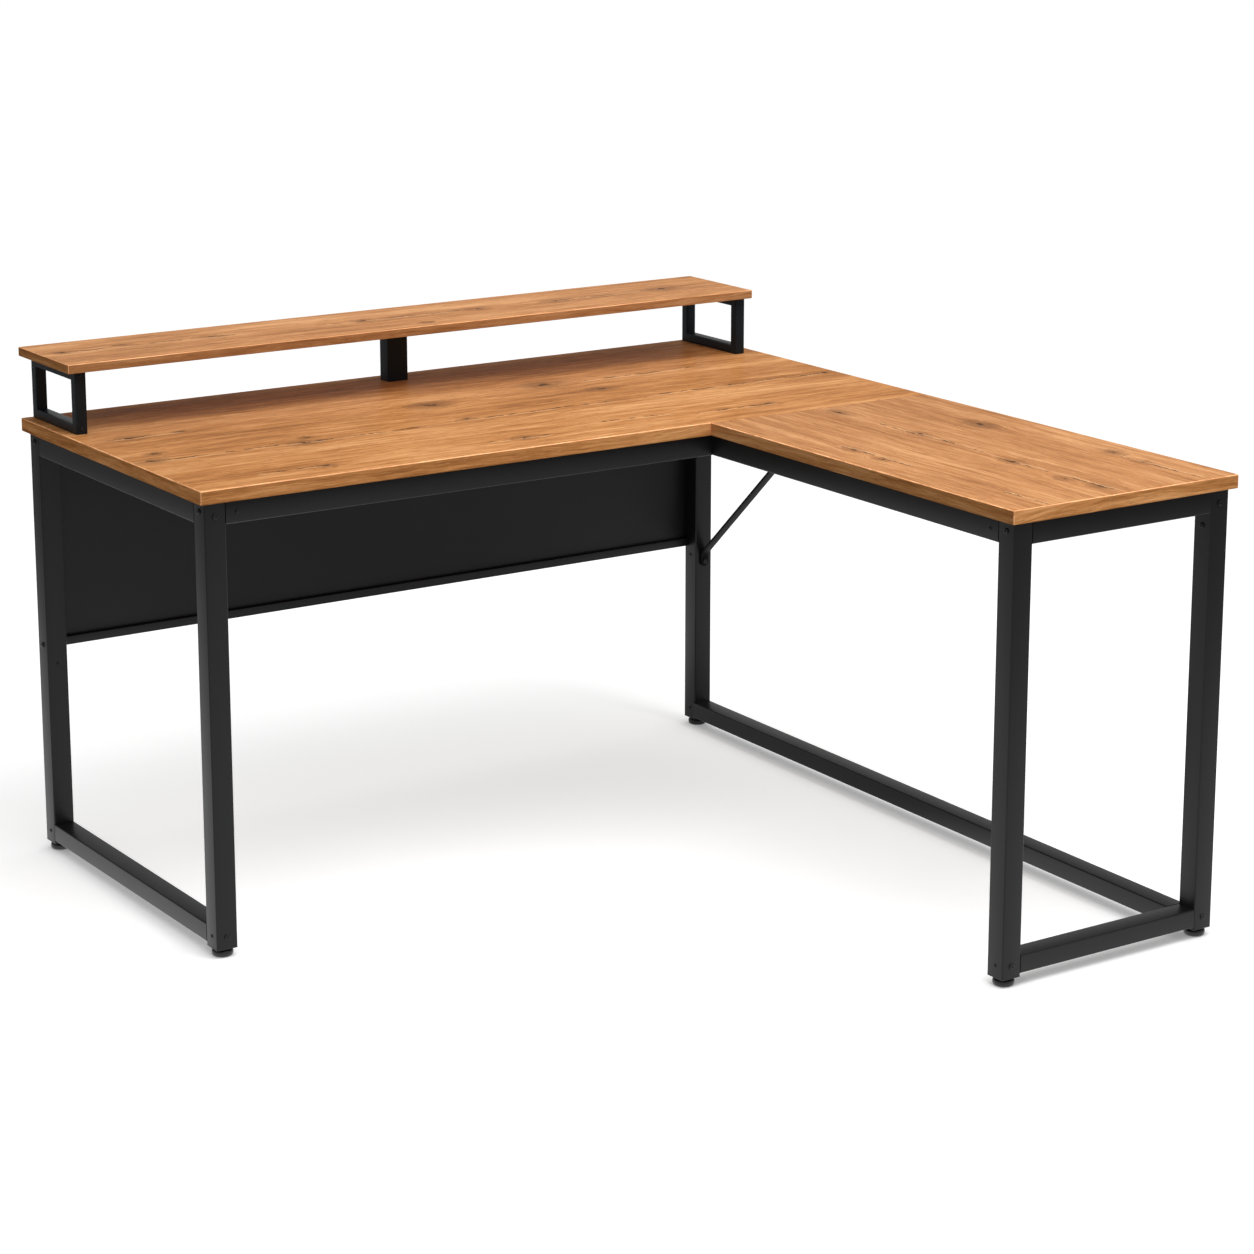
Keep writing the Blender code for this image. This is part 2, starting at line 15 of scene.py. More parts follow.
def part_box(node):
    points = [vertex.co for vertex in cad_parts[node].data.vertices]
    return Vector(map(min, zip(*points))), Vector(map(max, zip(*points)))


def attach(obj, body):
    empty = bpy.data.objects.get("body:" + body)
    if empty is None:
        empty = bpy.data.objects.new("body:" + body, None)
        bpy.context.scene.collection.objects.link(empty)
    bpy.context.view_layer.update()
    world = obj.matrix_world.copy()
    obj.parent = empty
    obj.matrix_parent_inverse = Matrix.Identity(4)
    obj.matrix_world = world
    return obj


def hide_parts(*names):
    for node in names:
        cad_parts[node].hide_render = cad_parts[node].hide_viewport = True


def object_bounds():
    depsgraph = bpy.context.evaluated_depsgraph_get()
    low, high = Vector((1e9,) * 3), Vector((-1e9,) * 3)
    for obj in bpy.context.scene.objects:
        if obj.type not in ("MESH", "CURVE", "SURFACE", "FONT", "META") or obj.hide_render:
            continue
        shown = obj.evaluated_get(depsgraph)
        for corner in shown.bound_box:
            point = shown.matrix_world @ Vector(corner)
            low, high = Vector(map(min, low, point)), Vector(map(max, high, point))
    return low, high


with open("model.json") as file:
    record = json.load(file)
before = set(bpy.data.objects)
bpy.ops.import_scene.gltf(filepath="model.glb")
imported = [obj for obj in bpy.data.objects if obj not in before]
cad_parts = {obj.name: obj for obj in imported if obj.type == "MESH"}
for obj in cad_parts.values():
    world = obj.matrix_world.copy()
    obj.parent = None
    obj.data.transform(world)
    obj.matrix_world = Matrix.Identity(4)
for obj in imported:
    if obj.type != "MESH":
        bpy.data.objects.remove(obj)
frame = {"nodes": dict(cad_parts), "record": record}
CAD_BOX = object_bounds()

BODY = "desk"

# Camera
CAMERA_PLACE = Vector((-2.796, -4.274, 1.835))
CAMERA_TURN = math.radians(-33.58)
CAMERA_PITCH = math.radians(12.99)
CAMERA_LENS = 93.6
CAMERA_SENSOR = 36.0
CAMERA_SHIFT = -0.10
CAMERA_FAR = 100.0

# Studio. A pair of numbers for the sky says where a change starts and where it is full.
FLOOR_SIDE = 60.0
FLOOR_GLOW = 0.49
CONTACT_REACH = 0.032
CONTACT_SHADE = 0.62
CONTACT_SAMPLES = 4
KEY_PLACE = Vector((0.25, -0.95, 2.80))
KEY_SIDE = 2.0
KEY_POWER = 52.0
SKY_TOP = 0.85
SKY_HORIZON = 0.34
SKY_REAR_DIM = 0.80
SKY_REAR_SHADE = 0.75
SKY_REAR_GLOW = 0.50
SKY_DIM_REAR = (0.0, 0.6)
SKY_DIM_FOOT = (0.24, 0.40)
SKY_DIM_HEAD = (0.90, 0.60)
SKY_GLOW_REAR = (0.2, 0.7)
SKY_GLOW_HEAD = (0.36, 0.20)
CARD_CENTRE = Vector((-0.05, -0.20, 0.0))
CARD_NEAR = 1.1
CARD_FAR = 3.7
CARD_BRIGHT = 1.35
CARD_DIM = 0.20
FLAG_CENTRE = Vector((0.35, 0.45, 0.0))
FLAG_NEAR = 0.40
FLAG_FAR = 0.75
FLAG_PASSES = 0.35

# Steel tube
TUBE_ROUND = 0.0022
TUBE_WALL = 0.0015
CORNER_STEPS = 5
LOOP_BAR = 0.016
LOOP_ROUND = 0.0018
PANEL_RAIL_WALL = 0.001
PANEL_RAIL_ROUND = 0.0012

# Rounded arrises of the boards and of the CAD nodes that stay in view
ARRIS = 0.0013
SHELF_ARRIS = 0.0009
ARRIS_STEPS = 3
PANEL_ARRIS = 0.0005
ANGLE_ARRIS = 0.0006
PLUG_ARRIS = 0.0008
SMOOTH_BELOW = math.radians(40)
SAME_LEVEL = 1e-4
SORTING_SLANT = Vector((1.0, 7.3, 53.0))

# Oak. A knot of unit radius has this half length and half width, and bends the grain this far out.
KNOT_LENGTH = 1.2
KNOT_WIDTH = 0.75
KNOT_REACH = 6.5
KNOT_BEND = 0.75
KNOT_WOBBLE = (0.034, 0.022, 0.0)
GROWTH_LINES_PER_METRE = 52.0
MEAN_TONE = 0.74
WOOD_SHINE = 0.003
WOOD_RELIEF = 0.00030
OAK_TONES = (
    (0.50, (0.260, 0.098, 0.030)),
    (0.64, (0.430, 0.175, 0.054)),
    (0.75, (0.560, 0.243, 0.082)),
    (0.92, (0.760, 0.385, 0.160)),
)
PORE_COLOUR = (0.24, 0.090, 0.028)
GLINT_COLOUR = (0.78, 0.44, 0.20)
HALO_COLOUR = (0.22, 0.090, 0.032)
# Pale colour painted beside the cracks as the highlight on their lips.
LIP_HIGHLIGHT_COLOUR = (0.92, 0.58, 0.31)
CRACK_COLOUR = (0.100, 0.045, 0.020)
KNOT_COLOUR = (0.070, 0.032, 0.015)

# Powder coat. The mask of the arrises grows from 0 to 1 as the dot product of the rounded normal with the
# face's own falls from the first likeness to the second.
WEAR_AND_HIGHLIGHT_RADIUS = 0.0016
ARRIS_SAMPLES = 6
ARRIS_LIKENESS = (0.985, 0.80)
DUSTY_BLACK = (0.035, 0.035, 0.036)
# Paler black for the arrises: partly wear, partly a painted highlight.
WORN_AND_HIGHLIGHT_BLACK = (0.060, 0.060, 0.062)

# Heads of the fasteners. Widths are shares of the head's radius, and heights of its height. The flange's
# chamfer ends at a share of the flange's height.
HEAD_SIDES = 48
HEAD_ROUNDING_STEPS = 6
HEAD_BEARING = 0.4
HEAD_CHAMFER = 0.96
HEAD_FLANGE = 0.22
HEAD_FLANGE_CHAMFER = 0.35
HEAD_RIM = 0.94
HEAD_SHOULDER = 0.97
HEAD_FLAT = 0.72
SOCKET_WIDTH = 0.34
SOCKET_MOUTH = 1.08
SOCKET_CHAMFER = 0.93
SOCKET_DEPTH = 0.62

# Levelling feet. The pad's outline is a share of its radius, at a height.
FOOT_SIDES = 64
PAD_TOP = 0.0105
PAD_GROOVE = 0.0006
PAD_OUTLINE = (
    (0.80, 0.0),
    (0.86, 0.0004),
    (0.93, 0.0014),
    (0.975, 0.0028),
    (1.0, 0.0044),
    (1.0, 0.0072),
    (0.985, 0.0086),
    (0.94, 0.0097),
    (0.88, PAD_TOP),
    (0.74, PAD_TOP),
    (0.72, PAD_TOP - PAD_GROOVE),
    (0.60, PAD_TOP - PAD_GROOVE),
    (0.58, PAD_TOP),
)
BOSS_HALF_WIDTH = 0.0068
BOSS_HEIGHT = 0.0017
BOSS_SINK = 0.0003
PLUG_CLEARANCE = 0.0012
STUD_SIDES = 24
STUD_RADIUS = 0.0040
STUD_NECK = 0.0034
STUD_TIP = 0.0030
STUD_SINK = 0.001
STUD_PITCH = 0.00125
THREAD_DEPTH = 0.0007

# Diagonal strap. Its ends narrow to a share of its half width.
BRACE_THICKNESS = 0.004
BRACE_TAB = 0.025
BRACE_BEND_RADIUS = 0.006
BRACE_BEND_STEPS = 6
BRACE_RING_SPACING = 0.0015
BRACE_ROUND = 0.0009
BRACE_END_WIDTH = 0.18

# Knots as (along the grain, across it, radius) and cracks as (across, from, to), in metres from the board's
# left rear corner. Along is measured to the right on the main top and the shelf, and forward on the return.
MAIN_KNOTS = (
    (0.080, 0.250, 0.010),
    (0.172, 0.250, 0.005),
    (0.035, 0.432, 0.010),
    (0.062, 0.383, 0.006),
    (0.298, 0.440, 0.011),
    (0.320, 0.405, 0.006),
    (0.622, 0.285, 0.014),
    (0.880, 0.235, 0.015),
    (0.942, 0.322, 0.009),
    (0.615, 0.420, 0.007),
    (1.155, 0.415, 0.007),
    (1.362, 0.415, 0.009),
    (0.245, 0.610, 0.007),
    (0.618, 0.600, 0.008),
    (1.108, 0.590, 0.006),
)
MAIN_CRACKS = (
    (0.434, 0.010, 0.560),
    (0.424, 0.560, 0.920),
    (0.418, 0.960, 1.380),
    (0.250, 0.030, 0.190),
    (0.243, 0.930, 1.230),
    (0.608, 0.120, 0.260),
    (0.600, 0.540, 0.670),
    (0.565, 0.780, 0.930),
    (0.590, 0.950, 1.130),
)
RETURN_KNOTS = (
    (0.050, 0.228, 0.009),
    (0.255, 0.362, 0.012),
    (0.262, 0.230, 0.007),
    (0.300, 0.065, 0.007),
    (0.382, 0.060, 0.006),
    (0.510, 0.222, 0.008),
    (0.542, 0.397, 0.008),
    (0.625, 0.386, 0.006),
    (0.645, 0.205, 0.007),
    (0.715, 0.216, 0.008),
)
RETURN_CRACKS = (
    (0.228, 0.140, 0.440),
    (0.218, 0.440, 0.770),
    (0.066, 0.250, 0.460),
    (0.385, 0.560, 0.770),
    (0.070, 0.660, 0.770),
)
SHELF_KNOTS = (
    (0.040, 0.090, 0.007),
    (0.150, 0.080, 0.006),
    (0.310, 0.090, 0.008),
    (0.600, 0.095, 0.007),
    (0.685, 0.168, 0.005),
    (0.830, 0.100, 0.007),
    (0.990, 0.100, 0.009),
    (1.225, 0.095, 0.011),
)
SHELF_CRACKS = (
    (0.092, 0.010, 0.420),
    (0.094, 0.500, 0.860),
    (0.097, 0.960, 1.250),
)


class Nodes:
    """Short ways to add shader nodes to a node tree and join them."""

    def __init__(self, tree):
        self.nodes = tree.nodes
        self.links = tree.links

    def set(self, socket, value):
        """Joins an output to the socket, or writes a number or colour on the socket itself."""
        if isinstance(value, bpy.types.NodeSocket):
            self.links.new(value, socket)
        else:
            socket.default_value = value

    def math(self, operation, *values):
        node = self.nodes.new("ShaderNodeMath")
        node.operation = operation
        for socket, value in zip(node.inputs, values):
            self.set(socket, value)
        return node.outputs[0]

    def vector(self, operation, *values, output="Vector"):
        node = self.nodes.new("ShaderNodeVectorMath")
        node.operation = operation
        for socket, value in zip(node.inputs, values):
            self.set(socket, value)
        return node.outputs[output]

    def split(self, vector):
        node = self.nodes.new("ShaderNodeSeparateXYZ")
        self.set(node.inputs[0], vector)
        return node.outputs

    def join(self, x, y, z):
        node = self.nodes.new("ShaderNodeCombineXYZ")
        for socket, value in zip(node.inputs, (x, y, z)):
            self.set(socket, value)
        return node.outputs[0]

    def noise(self, vector, scale=1.0, detail=2.0, roughness=0.5, output="Fac"):
        node = self.nodes.new("ShaderNodeTexNoise")
        self.set(node.inputs["Vector"], vector)
        node.inputs["Scale"].default_value = scale
        node.inputs["Detail"].default_value = detail
        node.inputs["Roughness"].default_value = roughness
        return node.outputs[output]

    def step(self, value, low, high, start=0.0, end=1.0):
        """A smooth step of value, from start at low to end at high."""
        node = self.nodes.new("ShaderNodeMapRange")
        node.interpolation_type = "SMOOTHSTEP"
        for name, number in (("Value", value), ("From Min", low), ("From Max", high)):
            self.set(node.inputs[name], number)
        node.inputs["To Min"].default_value = start
        node.inputs["To Max"].default_value = end
        return node.outputs["Result"]

    def ramp(self, value, stops):
        """A colour ramp through (place, colour) stops."""
        node = self.nodes.new("ShaderNodeValToRGB")
        self.set(node.inputs[0], value)
        elements = node.color_ramp.elements
        while len(elements) < len(stops):
            elements.new(0.5)
        for element, (position, colour) in zip(elements, stops):
            element.position = position
            element.color = (*colour, 1.0)
        return node.outputs["Color"]

    def mix(self, share, first, second):
        node = self.nodes.new("ShaderNodeMix")
        node.data_type = "RGBA"
        self.set(node.inputs[0], share)
        for socket, colour in ((node.inputs[6], first), (node.inputs[7], second)):
            self.set(socket, (*colour, 1.0) if isinstance(colour, tuple) else colour)
        return node.outputs[2]

    def bump(self, height, distance, strength):
        node = self.nodes.new("ShaderNodeBump")
        self.set(node.inputs["Height"], height)
        node.inputs["Distance"].default_value = distance
        node.inputs["Strength"].default_value = strength
        return node.outputs["Normal"]

    def edge(self, radius):
        """1 on the arrises and 0 on the flats, from the normal rounded over a radius."""
        bevel = self.nodes.new("ShaderNodeBevel")
        bevel.samples = ARRIS_SAMPLES
        bevel.inputs["Radius"].default_value = radius
        normal = self.nodes.new("ShaderNodeNewGeometry").outputs["True Normal"]
        alike = self.vector("DOT_PRODUCT", bevel.outputs[0], normal, output="Value")
        return self.step(alike, *ARRIS_LIKENESS)


class Graph(Nodes):
    """The nodes of a new material, with its shader and the place on the desk."""

    def __init__(self, name):
        self.material = bpy.data.materials.new(name)
        self.material.use_nodes = True
        super().__init__(self.material.node_tree)
        self.shader = self.nodes["Principled BSDF"]
        self.place = self.nodes.new("ShaderNodeTexCoord").outputs["Object"]

    def look(self, **values):
        """Sets the shader's inputs, with underscores in place of spaces."""
        for name, value in values.items():
            self.set(self.shader.inputs[name.replace("_", " ")], value)


class Wood(Graph):
    """An oak material, measured along the grain and across it from a board's left rear corner."""

    def __init__(self, name, grain_along_x, corner, seed, edge_band):
        super().__init__(name)
        x, y, self.up = self.split(self.place)
        rightward = self.math("SUBTRACT", x, corner.x)
        forward = self.math("SUBTRACT", corner.y, y)
        self.along, self.across = (rightward, forward) if grain_along_x else (forward, rightward)
        if edge_band:
            self.across = self.math("MULTIPLY_ADD", self.across, 0.2, self.up)
        self.seed = seed

    def streaks(self, along_scale, across_scale, detail, offset, line=None):
        """Noise drawn out along the grain. It follows a bent line across the grain, if one is given."""
        place = self.join(
            self.math("MULTIPLY", self.along, along_scale),
            self.math("MULTIPLY", self.across if line is None else line, across_scale),
            self.math("ADD", self.math("MULTIPLY", self.up, across_scale * 0.2), self.seed + offset),
        )
        return self.noise(place, detail=detail, roughness=0.6)

    def bend(self, push):
        """The place across the grain, as the grain's waves and the knots bend it."""
        slow = self.math("SUBTRACT", self.streaks(1.8, 6.0, 1.0, 17.0), 0.5)
        quick = self.math("SUBTRACT", self.streaks(15.0, 30.0, 2.0, 23.0), 0.5)
        bent = self.math("ADD", self.across, push)
        bent = self.math("MULTIPLY_ADD", slow, 0.036, bent)
        return self.math("MULTIPLY_ADD", quick, 0.009, bent)

    def tone(self, bent, broad, middle, fine, fineness):
        """How pale the wood is: three layers of streaks, dark growth lines and pale lines."""
        growth = self.math("MULTIPLY_ADD", broad, 5.0, self.math("MULTIPLY", bent, GROWTH_LINES_PER_METRE))
        growth = self.step(self.math("FRACT", growth), 0.62, 1.0)
        growth = self.math("MULTIPLY", growth, self.step(self.streaks(5.0, 45.0, 2.0, 29.0), 0.42, 0.66))
        pale = self.step(self.streaks(3.0, 110.0 * fineness, 2.0, 37.0, bent), 0.58, 0.74)
        tone = self.math("MULTIPLY_ADD", broad, 0.50, self.math("MULTIPLY", middle, 0.55))
        tone = self.math("MULTIPLY_ADD", fine, 0.45, tone)
        tone = self.math("MULTIPLY_ADD", growth, -0.14, tone)
        return self.math("MULTIPLY_ADD", pale, 0.12, tone)


def knot_masks(wood, knots):
    """Bends the grain round the knots. Returns the push on across, and masks for eyes and halos."""
    place = wood.join(wood.along, wood.across, 0.0)
    wobble = wood.noise(place, scale=85.0, detail=2.0, roughness=0.6, output="Color")
    wobble = wood.vector("SUBTRACT", wobble, (0.5, 0.5, 0.5))
    rough_place = wood.vector("MULTIPLY_ADD", wobble, KNOT_WOBBLE, place)
    push = 0.0
    eye = 0.0
    halo = 0.0
    for knot_along, knot_across, radius in knots:
        size = Vector((1 / (KNOT_LENGTH * radius), 1 / (KNOT_WIDTH * radius), 0.0))
        offset = Vector((-knot_along * size.x, -knot_across * size.y, 0.0))
        from_knot = wood.vector("MULTIPLY_ADD", rough_place, size, offset)
        distance = wood.vector("LENGTH", from_knot, output="Value")
        eye = wood.math("MAXIMUM", eye, wood.step(distance, 1.0, 0.45))
        near = wood.step(distance, KNOT_REACH, 0.0)
        halo = wood.math("MAXIMUM", halo, near)
        aside = wood.math("SUBTRACT", wood.across, knot_across)
        push = wood.math("MULTIPLY_ADD", wood.math("MULTIPLY", aside, near), -KNOT_BEND, push)
    return push, eye, halo


def crack_masks(wood, cracks, width):
    """Masks for jagged broken cracks along the grain, and for a painted highlight on the lip beside each."""
    line = wood.join(wood.along, 0.0, 0.0)
    sway = wood.math("SUBTRACT", wood.noise(line, scale=7.0, detail=2.0), 0.5)
    jag = wood.math("SUBTRACT", wood.noise(line, scale=52.0, detail=3.0, roughness=0.7), 0.5)
    strayed = wood.math("MULTIPLY_ADD", sway, 0.022, wood.across)
    strayed = wood.math("MULTIPLY_ADD", jag, 0.011, strayed)
    gaps = wood.step(wood.noise(line, scale=17.0, detail=3.0, roughness=0.7), 0.45, 0.55)
    vary = wood.noise(wood.vector("ADD", line, (9.0, 0.0, 0.0)), scale=31.0, detail=2.0)
    wide = wood.step(vary, 0.30, 0.70, 0.4 * width, 1.7 * width)
    narrow = wood.math("MULTIPLY", wide, 0.4)
    lip_gaps = wood.step(wood.noise(line, scale=13.0, detail=2.0), 0.38, 0.52)
    crack = 0.0
    lip_highlight = 0.0
    for crack_across, start, end in cracks:
        aside = wood.math("SUBTRACT", strayed, crack_across)
        middle = wood.math("ABSOLUTE", wood.math("SUBTRACT", wood.along, (start + end) / 2))
        half = (end - start) / 2
        inside = wood.step(middle, half, half * 0.8)
        gap = wood.step(wood.math("ABSOLUTE", aside), wide, narrow)
        off_lip = wood.math("ABSOLUTE", wood.math("SUBTRACT", aside, width * 1.3))
        beside = wood.step(off_lip, width * 1.1, width * 0.2)
        crack = wood.math("MAXIMUM", crack, wood.math("MULTIPLY", gap, inside))
        lip_highlight = wood.math("MAXIMUM", lip_highlight, wood.math("MULTIPLY", beside, inside))
    return wood.math("MULTIPLY", crack, gaps), wood.math("MULTIPLY", lip_highlight, lip_gaps)


def shaded(colour, light, grey):
    """A colour moved a share of the way to a grey a little paler than it, and then lightened."""
    red, green, blue = colour
    level = (0.30 * red + 0.60 * green + 0.10 * blue) * 1.25
    return tuple(light * (part + (level - part) * grey) for part in colour)


def wood_material(
    name, grain_along_x, corner, knots=(), cracks=(), seed=0.0, light=1.0, grey=0.0, width=0.0, fineness=1.0,
    contrast=1.0,
):
    """Honey oak foil: tone bands, growth lines, flecks, knots and cracks along the grain, each crack with a
    painted highlight on its lip.

    With a crack width of 0 it is an edge band, whose grain runs along the edge.
    """
    wood = Wood(name, grain_along_x, corner, seed, edge_band=not width)
    push, eye, halo = knot_masks(wood, knots)
    crack, lip_highlight = crack_masks(wood, cracks, width)
    bent = wood.bend(push)
    broad = wood.streaks(1.2, 18.0 * fineness, 3.0, 0.0, bent)
    middle = wood.streaks(4.0, 85.0 * fineness, 3.0, 3.1, bent)
    fine = wood.streaks(17.0, 330.0 * fineness, 3.0, 7.7, bent)
    fleck = wood.streaks(48.0, 520.0 * fineness, 2.0, 11.3, bent)
    tone = wood.tone(bent, broad, middle, fine, fineness)
    tone = wood.math("MULTIPLY_ADD", tone, contrast, MEAN_TONE * (1.0 - contrast))
    colour = wood.ramp(tone, [(place, shaded(oak, light, grey)) for place, oak in OAK_TONES])
    pore = wood.math("MULTIPLY", wood.step(fleck, 0.57, 0.70), 0.42)
    glint = wood.math("MULTIPLY", wood.step(fleck, 0.40, 0.30), 0.30)
    dark = wood.math("MULTIPLY", wood.step(halo, 0.30, 1.0), wood.step(fine, 0.35, 0.60, 0.25, 0.75))
    # A pale band beside each crack paints the highlight of its lip.
    pale = wood.math("MULTIPLY", lip_highlight, 0.42)
    shares = (pore, glint, dark, pale)
    for share, part in zip(shares, (PORE_COLOUR, GLINT_COLOUR, HALO_COLOUR, LIP_HIGHLIGHT_COLOUR)):
        colour = wood.mix(share, colour, shaded(part, light, grey))
    colour = wood.mix(wood.math("MULTIPLY", crack, 0.82), colour, CRACK_COLOUR)
    colour = wood.mix(wood.math("MULTIPLY", eye, 0.85), colour, KNOT_COLOUR)
    wood.look(Base_Color=colour, Roughness=wood.step(middle, 0.25, 0.75, 0.30, 0.40))
    wood.look(Specular_IOR_Level=WOOD_SHINE)
    dents = wood.math("ADD", wood.step(fleck, 0.57, 0.70, 0.0, 0.5), wood.math("ADD", crack, eye))
    height = wood.math("SUBTRACT", wood.math("MULTIPLY", fine, 0.5), dents)
    wood.look(Normal=wood.bump(height, WOOD_RELIEF, 0.7))
    return wood.material


def steel_material(name, base, roughness, wear_and_highlight=0.5, shine=0.26, tint=(1.0, 1.0, 1.0)):
    """Black powder coat: fine orange peel, uneven gloss, and duller arrises, paler in patches as wear and as
    a painted highlight along the edges.
    """
    graph = Graph(name)
    peel = graph.noise(graph.place, scale=900.0, detail=2.0, roughness=0.6)
    speck = graph.noise(graph.place, scale=2600.0, detail=1.0)
    cloud = graph.noise(graph.place, scale=6.0, detail=4.0, roughness=0.6)
    edge = graph.edge(WEAR_AND_HIGHLIGHT_RADIUS)
    patches = graph.noise(graph.place, scale=38.0, detail=3.0, roughness=0.7)
    rubbed = graph.step(patches, 0.45, 0.62, 0.25, 1.0)
    # Rubbed arrises, paler for wear and for a painted edge highlight.
    worn_and_highlit = graph.math("MULTIPLY", graph.math("MULTIPLY", edge, rubbed), wear_and_highlight)
    colour = graph.mix(cloud, tuple(0.80 * c for c in base), tuple(1.25 * c for c in base))
    colour = graph.mix(graph.math("MULTIPLY", graph.step(speck, 0.62, 0.80), 0.3), colour, DUSTY_BLACK)
    colour = graph.mix(worn_and_highlit, colour, WORN_AND_HIGHLIGHT_BLACK)
    gloss = graph.math("MULTIPLY_ADD", cloud, 0.12, graph.math("MULTIPLY_ADD", peel, 0.06, roughness - 0.09))
    gloss = graph.math("MULTIPLY_ADD", edge, 0.22, gloss)
    graph.look(Base_Color=colour, Roughness=gloss, Specular_IOR_Level=shine, Specular_Tint=(*tint, 1.0))
    graph.look(Normal=graph.bump(peel, 0.00006, 0.5))
    return graph.material


def plastic_material(name, base):
    """Moulded black plastic with a fine grain."""
    graph = Graph(name)
    grain = graph.noise(graph.place, scale=1500.0, detail=3.0)
    cloud = graph.noise(graph.place, scale=60.0, detail=2.0)
    colour = graph.mix(cloud, tuple(0.8 * c for c in base), tuple(1.3 * c for c in base))
    colour = graph.mix(graph.math("MULTIPLY", graph.edge(0.001), 0.4), colour, (0.04, 0.04, 0.04))
    graph.look(Base_Color=colour, Roughness=graph.step(grain, 0.2, 0.8, 0.38, 0.55))
    graph.look(Specular_IOR_Level=0.4)
    graph.look(Normal=graph.bump(grain, 0.00005, 0.5))
    return graph.material


def zinc_material(name):
    """Bright zinc plate with a faint cloudiness."""
    graph = Graph(name)
    cloud = graph.noise(graph.place, scale=220.0, detail=3.0)
    graph.look(Base_Color=graph.mix(cloud, (0.42, 0.43, 0.45), (0.62, 0.62, 0.60)), Metallic=1.0)
    graph.look(Roughness=graph.step(cloud, 0.2, 0.8, 0.28, 0.42))
    return graph.material


def floor_material():
    """Pale matt paper that glows a little, with painted contact shadow close under the feet and the floor
    rails.
    """
    graph = Graph("studio_floor")
    mottle = graph.noise(graph.place, scale=3.0, detail=3.0)
    # An occlusion mask paints contact shadow into the floor's colour and glow.
    contact_occlusion = graph.nodes.new("ShaderNodeAmbientOcclusion")
    contact_occlusion.samples = CONTACT_SAMPLES
    contact_occlusion.inputs["Distance"].default_value = CONTACT_REACH
    shade = graph.step(contact_occlusion.outputs["AO"], 0.0, 1.0, 1.0 - CONTACT_SHADE, 1.0)
    colour = graph.mix(mottle, (0.90, 0.90, 0.90), (0.93, 0.93, 0.93))
    graph.look(Base_Color=graph.mix(shade, (0.0, 0.0, 0.0), colour))
    graph.look(Roughness=0.9, Specular_IOR_Level=0.0)
    glow = graph.math("MULTIPLY", shade, FLOOR_GLOW)
    graph.look(Emission_Color=(1.0, 1.0, 1.0, 1.0), Emission_Strength=glow)
    return graph.material


def floor_sheet(name, material):
    """A flat square as large as the floor, which belongs to the studio."""
    bm = bmesh.new()
    bmesh.ops.create_grid(bm, x_segments=1, y_segments=1, size=FLOOR_SIDE / 2)
    mesh = bpy.data.meshes.new(name)
    bm.to_mesh(mesh)
    bm.free()
    mesh.materials.append(material)
    sheet = bpy.data.objects.new(name, mesh)
    sheet.visible_diffuse = False
    bpy.context.scene.collection.objects.link(sheet)
    return sheet


def add_floor():
    """The floor under the feet. The bounce card takes its place in reflections."""
    floor = floor_sheet("studio_floor", floor_material())
    floor.location.z = CAD_BOX[0].z
    floor.visible_glossy = False


def add_bounce_card():
    """A lit card on the floor that only reflections see.

    It is bright round the desk, and dim far from the desk and under its corner.
    """
    graph = Graph("bounce_card")
    away = graph.vector("DISTANCE", graph.place, CARD_CENTRE, output="Value")
    flagged = graph.vector("DISTANCE", graph.place, FLAG_CENTRE, output="Value")
    light = graph.step(away, CARD_NEAR, CARD_FAR, CARD_BRIGHT, CARD_DIM)
    light = graph.math("MULTIPLY", light, graph.step(flagged, FLAG_NEAR, FLAG_FAR, FLAG_PASSES, 1.0))
    graph.look(Base_Color=(0.0, 0.0, 0.0, 1.0), Specular_IOR_Level=0.0)
    graph.look(Emission_Color=(1.0, 1.0, 1.0, 1.0), Emission_Strength=light)
    card = floor_sheet("bounce_card", graph.material)
    card.visible_camera = False
    card.visible_shadow = False
    card.visible_transmission = False
    card.visible_volume_scatter = False


def add_sky():
    """A soft studio: bright overhead, dark half way up behind the desk, and plain white to the camera."""
    world = bpy.data.worlds.new("studio")
    world.use_nodes = True
    bpy.context.scene.world = world
    sky = Nodes(world.node_tree)
    background = sky.nodes["Background"]
    background.inputs["Color"].default_value = (1.0, 1.0, 1.0, 1.0)
    path = sky.nodes.new("ShaderNodeLightPath").outputs
    _, rear, up = sky.split(sky.nodes.new("ShaderNodeTexCoord").outputs["Generated"])
    gradient = sky.step(up, 0.0, 1.0, SKY_HORIZON, SKY_TOP)
    half_way = sky.math("MULTIPLY", sky.step(up, *SKY_DIM_FOOT), sky.step(up, *SKY_DIM_HEAD))
    half_way = sky.math("MAXIMUM", half_way, sky.math("MULTIPLY", path["Is Diffuse Ray"], SKY_REAR_SHADE))
    glow = sky.step(rear, *SKY_GLOW_REAR, 0.0, SKY_REAR_GLOW)
    glow = sky.math("MULTIPLY", glow, sky.step(up, *SKY_GLOW_HEAD))
    glow = sky.math("MULTIPLY", glow, path["Is Glossy Ray"])
    dim = sky.math("MULTIPLY", sky.step(rear, *SKY_DIM_REAR, 0.0, SKY_REAR_DIM), half_way)
    lit = sky.math("MULTIPLY_ADD", gradient, sky.math("SUBTRACT", 1.0, dim), glow)
    strength = sky.nodes.new("ShaderNodeMix")
    sky.set(strength.inputs[0], path["Is Camera Ray"])
    sky.set(strength.inputs[2], lit)
    sky.set(strength.inputs[3], 1.0)
    sky.set(background.inputs["Strength"], strength.outputs[0])


